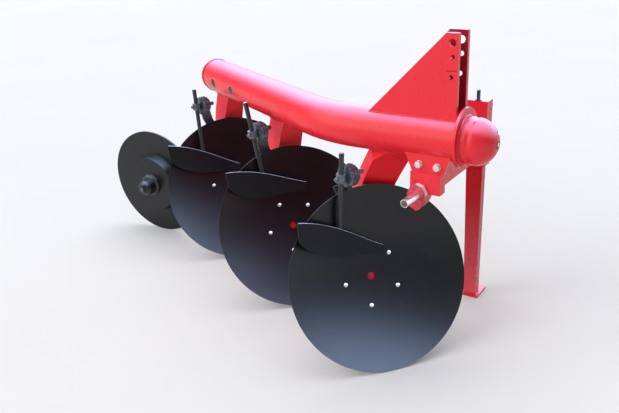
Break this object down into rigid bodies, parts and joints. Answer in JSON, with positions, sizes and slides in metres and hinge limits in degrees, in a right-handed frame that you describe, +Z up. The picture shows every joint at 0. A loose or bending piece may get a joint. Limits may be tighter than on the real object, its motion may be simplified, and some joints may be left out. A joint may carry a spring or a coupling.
{
  "type": "mounted disc plough",
  "caption": "Three-point mounted disc plough with a bent tube beam, tilted dished discs on bowed legs, scrapers, a rear furrow wheel and a sliding parking stand.",
  "frame": {"origin": "centre of the plough's outline on the ground", "axes": "+X along the direction of travel, +Y to the plough's left, +Z up"},
  "size_m": [2.1266, 1.093, 1.147],
  "materials": {
    "red_paint": "gloss red enamel",
    "black_paint": "satin black paint",
    "dark_grey_paint": "satin dark grey paint",
    "plated_steel": "zinc-plated steel"
  },
  "bodies": {
    "frame": {"beam_end_cap": "red_paint", "beam_tube": "red_paint", "bearing_housing_1": "red_paint", "bearing_housing_2": "red_paint", "bearing_housing_3": "red_paint", "clamp_block": "red_paint", "clamp_plate": "red_paint", "crank_plate_left": "red_paint", "crank_plate_right": "red_paint", "cross_tube": "red_paint", "front_dome": "red_paint", "front_flange": "red_paint", "leg_1": "red_paint", "leg_2": "red_paint", "leg_3": "red_paint", "link_pin_left": "plated_steel", "link_pin_right": "plated_steel", "mast_plate_left": "red_paint", "mast_plate_right": "red_paint", "scraper_blade_1": "black_paint", "scraper_blade_2": "black_paint", "scraper_blade_3": "black_paint", "scraper_bracket_1": "black_paint", "scraper_bracket_2": "black_paint", "scraper_bracket_3": "black_paint", "scraper_rod_1": "black_paint", "scraper_rod_2": "black_paint", "scraper_rod_3": "black_paint", "stand_sleeve": "red_paint", "tail_arm": "red_paint", "tail_axle": "plated_steel"},
    "disc_1_body": {"disc_1": "black_paint", "disc_hub_1": "red_paint"},
    "disc_2_body": {"disc_2": "black_paint", "disc_hub_2": "red_paint"},
    "disc_3_body": {"disc_3": "black_paint", "disc_hub_3": "red_paint"},
    "tail_wheel_body": {"tail_wheel": "dark_grey_paint", "tail_hub": "dark_grey_paint"},
    "stand_body": {"stand_post": "red_paint", "stand_foot": "red_paint"}
  },
  "joints": [
    {"name": "disc_1_spin", "type": "hinge", "parent": "frame", "child": "disc_1_body", "pos_m": [0.71667, -0.27852, 0.31049], "axis": [0.7286, -0.5837, 0.3584], "continuous": true},
    {"name": "disc_2_spin", "type": "hinge", "parent": "frame", "child": "disc_2_body", "pos_m": [0.20867, -0.03052, 0.31049], "axis": [0.7286, -0.5837, 0.3584], "continuous": true},
    {"name": "disc_3_spin", "type": "hinge", "parent": "frame", "child": "disc_3_body", "pos_m": [-0.29933, 0.21748, 0.31049], "axis": [0.7286, -0.5837, 0.3584], "continuous": true},
    {"name": "tail_wheel_spin", "type": "hinge", "parent": "frame", "child": "tail_wheel_body", "pos_m": [-0.79833, 0.18248, 0.26485], "axis": [0.0418, -0.9978, -0.0523], "continuous": true},
    {"name": "stand_slide", "type": "slide", "parent": "frame", "child": "stand_body", "axis": [0, 0, 1], "range_m": [0, 0.16]}
  ]
}
